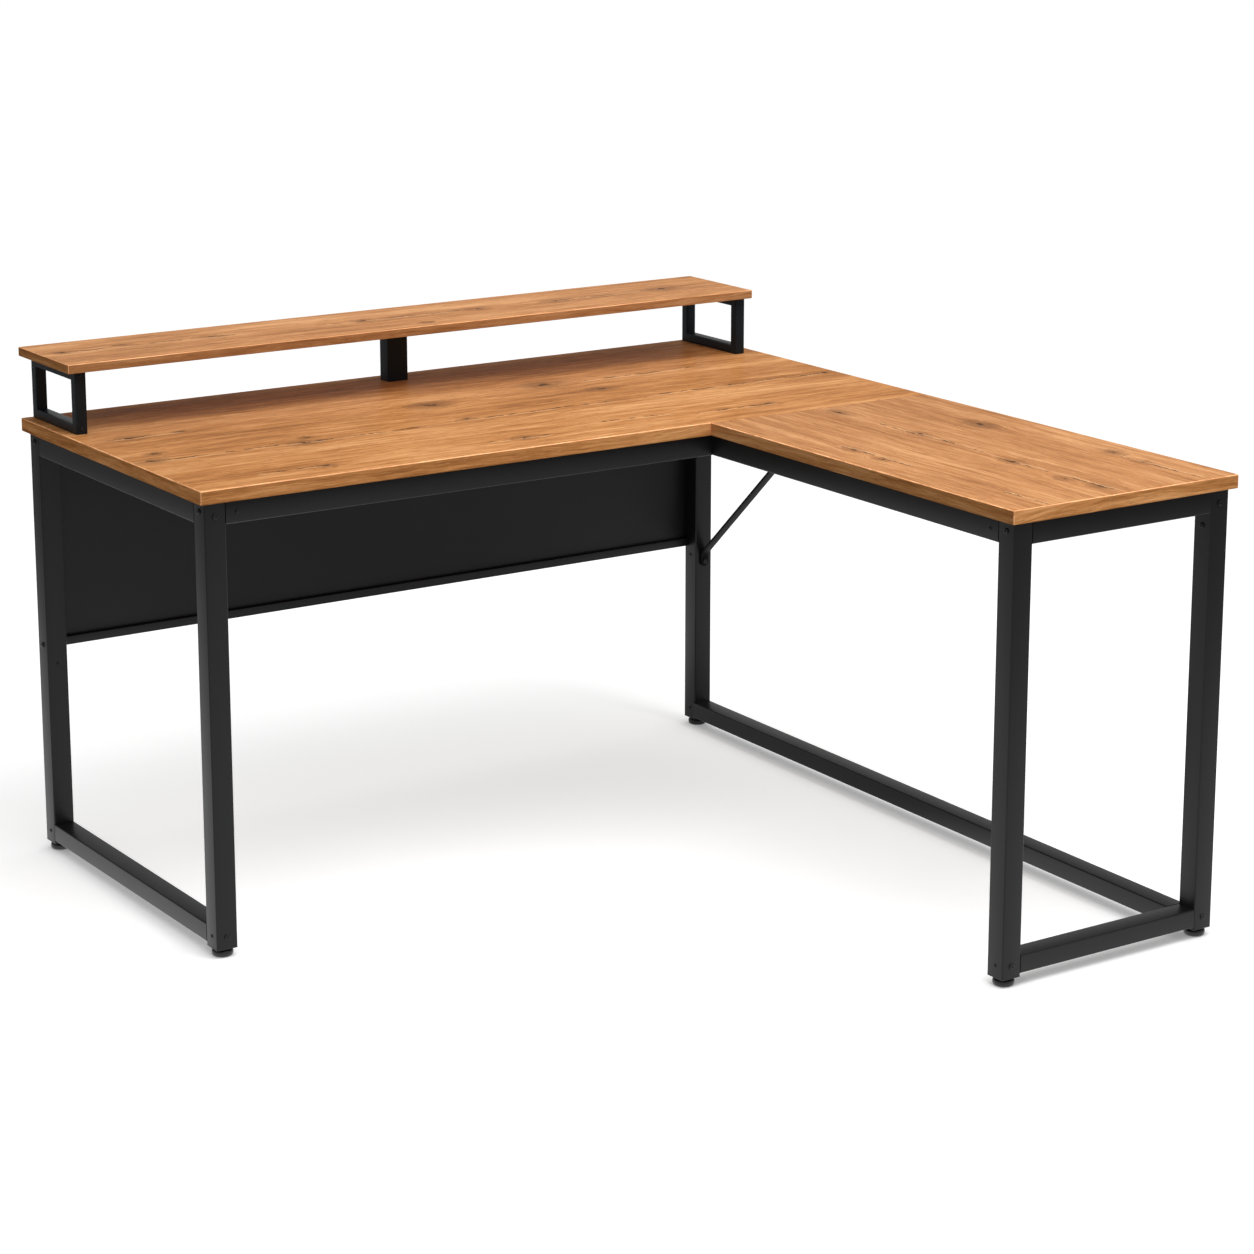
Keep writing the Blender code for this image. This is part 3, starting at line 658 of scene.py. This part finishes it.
def add_key():
    """A large softbox above and a little in front of the desk."""
    data = bpy.data.lights.new("key", "AREA")
    data.shape = "SQUARE"
    data.size = KEY_SIDE
    data.energy = KEY_POWER
    light = bpy.data.objects.new("key", data)
    light.location = KEY_PLACE
    target = (CAD_BOX[0] + CAD_BOX[1]) / 2
    light.rotation_euler = (target - KEY_PLACE).to_track_quat("-Z", "Y").to_euler()
    bpy.context.scene.collection.objects.link(light)


def add_camera():
    data = bpy.data.cameras.new("camera")
    data.lens = CAMERA_LENS
    data.sensor_width = CAMERA_SENSOR
    data.shift_y = CAMERA_SHIFT
    data.clip_end = CAMERA_FAR
    camera = bpy.data.objects.new("camera", data)
    camera.location = CAMERA_PLACE
    camera.rotation_euler = (math.pi / 2 - CAMERA_PITCH, 0.0, CAMERA_TURN)
    bpy.context.scene.collection.objects.link(camera)
    bpy.context.scene.camera = camera


def show_plain_colours():
    """Display values as lit, with no film curve."""
    bpy.context.scene.view_settings.view_transform = "Standard"


def add_piece(name, bm, materials, body=BODY, stands_for=()):
    """A new object made from bm, which rides on a body and may stand for CAD nodes."""
    bmesh.ops.recalc_face_normals(bm, faces=bm.faces)
    mesh = bpy.data.meshes.new(name)
    bm.to_mesh(mesh)
    bm.free()
    mesh.shade_smooth()
    mesh.set_sharp_from_angle(angle=SMOOTH_BELOW)
    for material in materials:
        mesh.materials.append(material)
    piece = bpy.data.objects.new(name, mesh)
    bpy.context.scene.collection.objects.link(piece)
    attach(piece, body)
    if stands_for:
        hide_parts(*stands_for)
    return piece


def loft(bm, rings, closed=False):
    """Joins equal rings of points with quads, capped at both ends unless the sweep is closed."""
    loops = [[bm.verts.new(point) for point in ring] for ring in rings]
    pairs = list(zip(loops, loops[1:]))
    if closed:
        pairs.append((loops[-1], loops[0]))
    for lower, upper in pairs:
        for i in range(len(lower)):
            j = (i + 1) % len(lower)
            bm.faces.new((lower[i], lower[j], upper[j], upper[i]))
    if not closed:
        bm.faces.new(reversed(loops[0]))
        bm.faces.new(loops[-1])


def rounded_outline(width, depth, radius):
    """Points (a, b) round a rectangle centred on the origin, with quarter-circle corners."""
    points = []
    for quarter, (sign_a, sign_b) in enumerate(((1, 1), (-1, 1), (-1, -1), (1, -1))):
        for step in range(CORNER_STEPS + 1):
            angle = (quarter + step / CORNER_STEPS) * math.pi / 2
            a = sign_a * (width / 2 - radius) + radius * math.cos(angle)
            b = sign_b * (depth / 2 - radius) + radius * math.sin(angle)
            points.append((a, b))
    return points


def turns_of(sides):
    """Equally spaced angles round a full turn."""
    return [2 * math.pi * i / sides for i in range(sides)]


def circle_point(radius, angle, z):
    return Vector((radius * math.cos(angle), radius * math.sin(angle), z))


def hexagon_point(half_width, angle, z):
    """The point at that angle on a hexagon with that half width across its flats."""
    return circle_point(half_width / math.cos(angle % (math.pi / 3) - math.pi / 6), angle, z)


def lathe(bm, profile, sides, matrix):
    """Turns (radius, height) points round +Z, then moves them by matrix. Both ends are capped."""
    loft(bm, [[matrix @ circle_point(radius, t, z) for t in turns_of(sides)] for radius, z in profile])


def end_boxes(node, axis):
    """The lowest and highest corners of a node's two end faces along an axis."""
    low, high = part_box(node)
    vertices = frame["nodes"][node].data.vertices
    ends = []
    for level in (low[axis], high[axis]):
        points = [v.co for v in vertices if abs(v.co[axis] - level) < SAME_LEVEL]
        corners = (tuple(f(p[i] for p in points) for i in range(3)) for f in (min, max))
        ends.append(tuple(Vector(corner) for corner in corners))
    return ends


def make_tube(node, material, wall=TUBE_WALL, radius=TUBE_ROUND):
    """A hollow square tube with drawn corners, where its CAD node lies."""
    low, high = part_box(node)
    size = high - low
    axis = max(range(3), key=lambda i: size[i])
    first, second = (i for i in range(3) if i != axis)
    outer, inner = [], []
    for start, end in end_boxes(node, axis):
        middle = (start + end) / 2
        for rings, inset in ((outer, 0.0), (inner, wall)):
            width = end[first] - start[first] - 2 * inset
            depth = end[second] - start[second] - 2 * inset
            ring = []
            for a, b in rounded_outline(width, depth, max(radius - inset, radius / 3)):
                point = middle.copy()
                point[first] += a
                point[second] += b
                ring.append(point)
            rings.append(ring)
    bm = bmesh.new()
    loft(bm, [outer[0], outer[1], inner[1], inner[0]], closed=True)
    add_piece(node + "_tube", bm, [material], stands_for=[node])


def sort_faces(bm):
    """Puts the faces in order of place, because a cut leaves them in an order that varies from run to run."""
    bm.faces.sort(key=lambda face: face.calc_center_median().dot(SORTING_SLANT))


def make_board(node, materials, arris=ARRIS):
    """A board with rounded arrises. Its materials are the face, the X and Y bands, and the top arris. The
    bands are lit and shaded copies of the oak, which paint the light and shade of the sides facing each way,
    and the arris is a paler copy that paints a highlight.
    """
    low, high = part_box(node)
    bm = bmesh.new()
    middle = Matrix.Translation((low + high) / 2)
    bmesh.ops.create_cube(bm, size=1.0, matrix=middle @ Matrix.Diagonal((*(high - low), 1.0)))
    bmesh.ops.bevel(
        bm, geom=list(bm.edges), offset=arris, offset_type="OFFSET", segments=ARRIS_STEPS, profile=0.5,
        affect="EDGES",
    )
    seam_low, seam_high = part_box("return_top")
    everything = list(bm.verts) + list(bm.edges) + list(bm.faces)
    bmesh.ops.bisect_plane(bm, geom=everything, plane_co=seam_low, plane_no=(1.0, 0.0, 0.0))
    sort_faces(bm)
    bm.normal_update()
    for face in bm.faces:
        leaning = [abs(part) for part in face.normal]
        place = face.calc_center_median()
        at_seam = abs(place.y - seam_high.y) < 2 * ARRIS and place.x > seam_low.x + 2 * ARRIS
        # Sides facing X and sides facing Y take the band copies with their painted light and shade. Rounded
        # arrises take the paler copy, which paints a highlight.
        if max(leaning) > 0.99:
            face.material_index = (1, 2, 0)[leaning.index(max(leaning))]
        elif at_seam:
            face.material_index = 0
        elif place.z < low.z + arris:
            face.material_index = 1 if leaning[0] > leaning[1] else 2
        else:
            face.material_index = 3
    board = add_piece(node + "_board", bm, materials, stands_for=[node])
    weighted = board.modifiers.new("normals", "WEIGHTED_NORMAL")
    weighted.keep_sharp = True


def make_loop(node):
    """A bent rectangular loop of flat tube, with mitred corners."""
    low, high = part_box(node)
    middle = (low + high) / 2
    width = high.x - low.x
    rings = []
    for sign_y, sign_z in ((-1, -1), (1, -1), (1, 1), (-1, 1)):
        ring = []
        for a, b in rounded_outline(width, LOOP_BAR, LOOP_ROUND):
            inset = b + LOOP_BAR / 2
            y = middle.y + sign_y * ((high.y - low.y) / 2 - inset)
            z = middle.z + sign_z * ((high.z - low.z) / 2 - inset)
            ring.append(Vector((middle.x + a, y, z)))
        rings.append(ring)
    bm = bmesh.new()
    loft(bm, rings, closed=True)
    add_piece(node + "_bars", bm, [SHELF_STEEL], stands_for=[node])


def head_of(node):
    """The top of a CAD fastener's head, the way it faces, its radius and its height."""
    low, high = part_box(node)
    axis = max(range(3), key=lambda i: (high - low)[i])
    across = (axis + 1) % 3
    ends = end_boxes(node, axis)
    spans = [end[1][across] - end[0][across] for end in ends]
    facing = Vector((0.0, 0.0, 0.0))
    facing[axis] = -1.0 if spans[0] > spans[1] else 1.0
    top = (low + high) / 2
    top[axis] = low[axis] if spans[0] > spans[1] else high[axis]
    radius = (high[across] - low[across]) / 2
    points = [v.co for v in frame["nodes"][node].data.vertices]
    rim = [point for point in points if abs(point[across] - top[across]) > HEAD_RIM * radius]
    return top, facing, radius, max(abs(point[axis] - top[axis]) for point in rim)


def make_head(node):
    """A flat-topped button head with a hexagon socket, on a thin flange."""
    top, facing, radius, height = head_of(node)
    base = top - facing * height
    matrix = Matrix.Translation(base) @ facing.to_track_quat("Z", "Y").to_matrix().to_4x4()
    rim = height * HEAD_FLANGE
    profile = [
        (radius * HEAD_BEARING, 0.0),
        (radius * HEAD_CHAMFER, 0.0),
        (radius, rim * HEAD_FLANGE_CHAMFER),
        (radius, rim),
    ]
    for i in range(1, HEAD_ROUNDING_STEPS + 1):
        angle = i / HEAD_ROUNDING_STEPS * math.pi / 2
        share = HEAD_FLAT + (HEAD_SHOULDER - HEAD_FLAT) * math.cos(angle)
        profile.append((radius * share, rim + (height - rim) * math.sin(angle)))
    bm = bmesh.new()
    rings = [[circle_point(r, t, z) for t in turns_of(HEAD_SIDES)] for r, z in profile]
    for widening, level in ((SOCKET_MOUTH, 1.0), (1.0, SOCKET_CHAMFER), (1.0, 1.0 - SOCKET_DEPTH)):
        half_width = radius * SOCKET_WIDTH * widening
        rings.append([hexagon_point(half_width, t, height * level) for t in turns_of(HEAD_SIDES)])
    loft(bm, [[matrix @ point for point in ring] for ring in rings])
    add_piece(node + "_head", bm, [BOLT], stands_for=[node])


def foot_corners():
    """The corners that have a levelling foot."""
    return [name.removeprefix("foot_") for name in frame["nodes"] if name.startswith("foot_")]


def thread_profile(low, high):
    """(radius, height) points of a thread from low to high, with a plain tip."""
    points = []
    z = low
    while z < high - 2 * STUD_PITCH:
        points += [(STUD_RADIUS, z), (STUD_RADIUS - THREAD_DEPTH, z + STUD_PITCH / 2)]
        z += STUD_PITCH
    return points + [(STUD_NECK, z), (STUD_TIP, high)]


def make_foot(corner):
    """A moulded pad with a turned rim and a hexagon boss, on a threaded stud."""
    node = "foot_" + corner
    low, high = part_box(node)
    plug_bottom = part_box("leg_plug_" + corner)[0].z
    radius = (high.x - low.x) / 2
    centre = Vector(((low.x + high.x) / 2, (low.y + high.y) / 2, low.z))
    matrix = Matrix.Translation(centre)
    bm = bmesh.new()
    lathe(bm, [(radius * share, z) for share, z in PAD_OUTLINE], FOOT_SIDES, matrix)
    boss_top = min(PAD_TOP + BOSS_HEIGHT, plug_bottom - PLUG_CLEARANCE)
    boss = [
        [matrix @ hexagon_point(BOSS_HALF_WIDTH, t, z) for t in turns_of(FOOT_SIDES)]
        for z in (PAD_TOP - BOSS_SINK, boss_top)
    ]
    loft(bm, boss)
    pad = add_piece(node + "_pad", bm, [PLASTIC], body=node, stands_for=[node])
    bm = bmesh.new()
    lathe(bm, thread_profile(boss_top - STUD_SINK, high.z), STUD_SIDES, matrix)
    stud = add_piece(node + "_stud", bm, [ZINC], body=node)


def bent_line(points):
    """The (y, z) points with each inner bend rounded."""
    line = [points[0]]
    for before, corner, after in zip(points, points[1:], points[2:]):
        back = (before - corner).normalized()
        ahead = (after - corner).normalized()
        start = corner + back * BRACE_BEND_RADIUS
        end = corner + ahead * BRACE_BEND_RADIUS
        for i in range(BRACE_BEND_STEPS + 1):
            share = i / BRACE_BEND_STEPS
            line.append(start.lerp(corner, share).lerp(corner.lerp(end, share), share))
    line.append(points[-1])
    return line


def dense_line(line):
    """The line with points added to it, about as far apart as the strap's rings are to be."""
    dense = [line[0]]
    for start, end in zip(line, line[1:]):
        count = max(1, round((end - start).length / BRACE_RING_SPACING))
        dense += [start.lerp(end, (i + 1) / count) for i in range(count)]
    return dense


def make_brace():
    """A flat strap with rounded ends, bent where it leaves the leg and where it meets the rail."""
    low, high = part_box("corner_brace")
    half = (high.x - low.x) / 2
    middle = (low.x + high.x) / 2
    rear = high.y - BRACE_THICKNESS / 2
    under = high.z - BRACE_THICKNESS / 2
    line = dense_line(bent_line([
        Vector((rear, low.z)),
        Vector((rear, low.z + BRACE_TAB)),
        Vector((low.y + BRACE_TAB, under)),
        Vector((low.y, under)),
    ]))
    lengths = [0.0]
    for start, end in zip(line, line[1:]):
        lengths.append(lengths[-1] + (end - start).length)
    rings = []
    for i, point in enumerate(line):
        along = (line[min(i + 1, len(line) - 1)] - line[max(i - 1, 0)]).normalized()
        normal = Vector((-along.y, along.x))
        from_end = min(lengths[i], lengths[-1] - lengths[i], half)
        width = max(math.sqrt(half * half - (half - from_end) ** 2), half * BRACE_END_WIDTH)
        outline = rounded_outline(2 * width, BRACE_THICKNESS, BRACE_ROUND)
        rings.append([
            Vector((middle + a, point.x + normal.x * b, point.y + normal.y * b)) for a, b in outline
        ])
    bm = bmesh.new()
    loft(bm, rings)
    add_piece("corner_brace_strap", bm, [STRAP_PAINTED_SHADE], stands_for=["corner_brace"])


def soften(name, width):
    """Rounds the arrises of a CAD node."""
    bevel = frame["nodes"][name].modifiers.new("arrises", "BEVEL")
    bevel.width = width
    bevel.segments = 2
    bevel.limit_method = "ANGLE"
    bevel.angle_limit = SMOOTH_BELOW


def dress(nodes, material):
    """Gives CAD nodes a material in place of their packed one."""
    for name in nodes:
        mesh = frame["nodes"][name].data
        mesh.materials.clear()
        mesh.materials.append(material)


show_plain_colours()
add_camera()
add_floor()
add_bounce_card()
add_sky()
add_key()

main_low, main_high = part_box("main_top")
return_low, return_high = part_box("return_top")
shelf_low, shelf_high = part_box("shelf_board")
MAIN_CORNER = Vector((main_low.x, main_high.y, 0.0))
RETURN_CORNER = Vector((return_low.x, return_high.y, 0.0))
SHELF_CORNER = Vector((shelf_low.x, shelf_high.y, 0.0))
MAIN = wood_material(
    "oak_main", True, MAIN_CORNER, MAIN_KNOTS, MAIN_CRACKS, seed=1.3, light=0.94, width=0.0040, fineness=0.5,
    contrast=0.92,
)
RETURN = wood_material(
    "oak_return", False, RETURN_CORNER, RETURN_KNOTS, RETURN_CRACKS, seed=5.9, light=0.88, grey=0.05,
    width=0.0028, fineness=0.8, contrast=0.80,
)
SHELF = wood_material(
    "oak_shelf", True, SHELF_CORNER, SHELF_KNOTS, SHELF_CRACKS, seed=9.2, light=1.07, grey=0.06,
    width=0.0030, fineness=0.55, contrast=0.85,
)
# Edge bands: lit and shaded copies of the oak, one for each way a side faces. Their light factors paint the
# light and shade on the board edges.
BAND_Y_PAINTED_LIGHT = wood_material("oak_band_y_painted_light", True, MAIN_CORNER, seed=14.0, light=1.05)
BAND_X_PAINTED_LIGHT = wood_material("oak_band_x_painted_light", False, MAIN_CORNER, seed=17.0, light=1.12)
RETURN_BAND_Y_PAINTED_LIGHT = wood_material("oak_return_band_y_painted_light", True, MAIN_CORNER, seed=19.0, light=1.28)
RETURN_BAND_X_PAINTED_SHADE = wood_material("oak_return_band_x_painted_shade", False, MAIN_CORNER, seed=27.0, light=0.76)
SHELF_BAND_Y_PAINTED_SHADE = wood_material(
    "oak_shelf_band_y_painted_shade", True, MAIN_CORNER, seed=21.0, light=0.70, grey=0.05, contrast=0.7,
)
SHELF_BAND_X_PAINTED_SHADE = wood_material("oak_shelf_band_x_painted_shade", False, MAIN_CORNER, seed=24.0, light=0.82)
# A much paler copy of the oak on the rounded arrises: a painted highlight along the board edges.
ARRIS_PAINTED_HIGHLIGHT = wood_material("oak_arris_painted_highlight", True, MAIN_CORNER, seed=31.0, light=1.85, grey=0.12)
STEEL = steel_material("powder_coat", (0.008, 0.008, 0.0084), 0.38)
SHELF_STEEL = steel_material(
    "shelf_coat", (0.0074, 0.0086, 0.0102), 0.40, shine=0.24, tint=(0.66, 0.86, 1.0),
)
# A darker, duller copy of the powder coat, which paints shade onto the strap.
STRAP_PAINTED_SHADE = steel_material("strap_coat_painted_shade", (0.006, 0.006, 0.0063), 0.50, shine=0.06)
PANEL = steel_material("panel_coat", (0.008, 0.008, 0.0084), 0.46)
# The bolt heads' arrises are paled strongly, which paints a highlight round their rims.
BOLT = steel_material("black_oxide", (0.0095, 0.0095, 0.0098), 0.34, wear_and_highlight=0.9)
ZINC = zinc_material("zinc")
PLASTIC = plastic_material("black_plastic", (0.009, 0.009, 0.009))

slots = {}
for row in frame["record"]["subparts"]:
    slots.setdefault(row["material_slot"], []).append(row["node"])
dress(slots["black_steel"], STEEL)
dress(slots["black_panel"], PANEL)
dress(slots["black_bolt"], BOLT)
dress(slots["black_plastic"], PLASTIC)

make_board("main_top", [MAIN, BAND_X_PAINTED_LIGHT, BAND_Y_PAINTED_LIGHT, ARRIS_PAINTED_HIGHLIGHT])
make_board("return_top", [RETURN, RETURN_BAND_X_PAINTED_SHADE, RETURN_BAND_Y_PAINTED_LIGHT, ARRIS_PAINTED_HIGHLIGHT])
make_board("shelf_board", [SHELF, SHELF_BAND_X_PAINTED_SHADE, SHELF_BAND_Y_PAINTED_SHADE, ARRIS_PAINTED_HIGHLIGHT], arris=SHELF_ARRIS)
for node in slots["black_steel"]:
    if node.startswith(("leg_", "top_rail_", "floor_rail_")):
        make_tube(node, STEEL)
make_tube("shelf_post", SHELF_STEEL)
make_tube("modesty_rail", STEEL, wall=PANEL_RAIL_WALL, radius=PANEL_RAIL_ROUND)
make_loop("shelf_loop_left")
make_loop("shelf_loop_right")
make_brace()
soften("modesty_panel", PANEL_ARRIS)
soften("seam_angle", ANGLE_ARRIS)
for corner in foot_corners():
    soften("leg_plug_" + corner, PLUG_ARRIS)
for node in slots["black_bolt"]:
    make_head(node)
for corner in foot_corners():
    make_foot(corner)
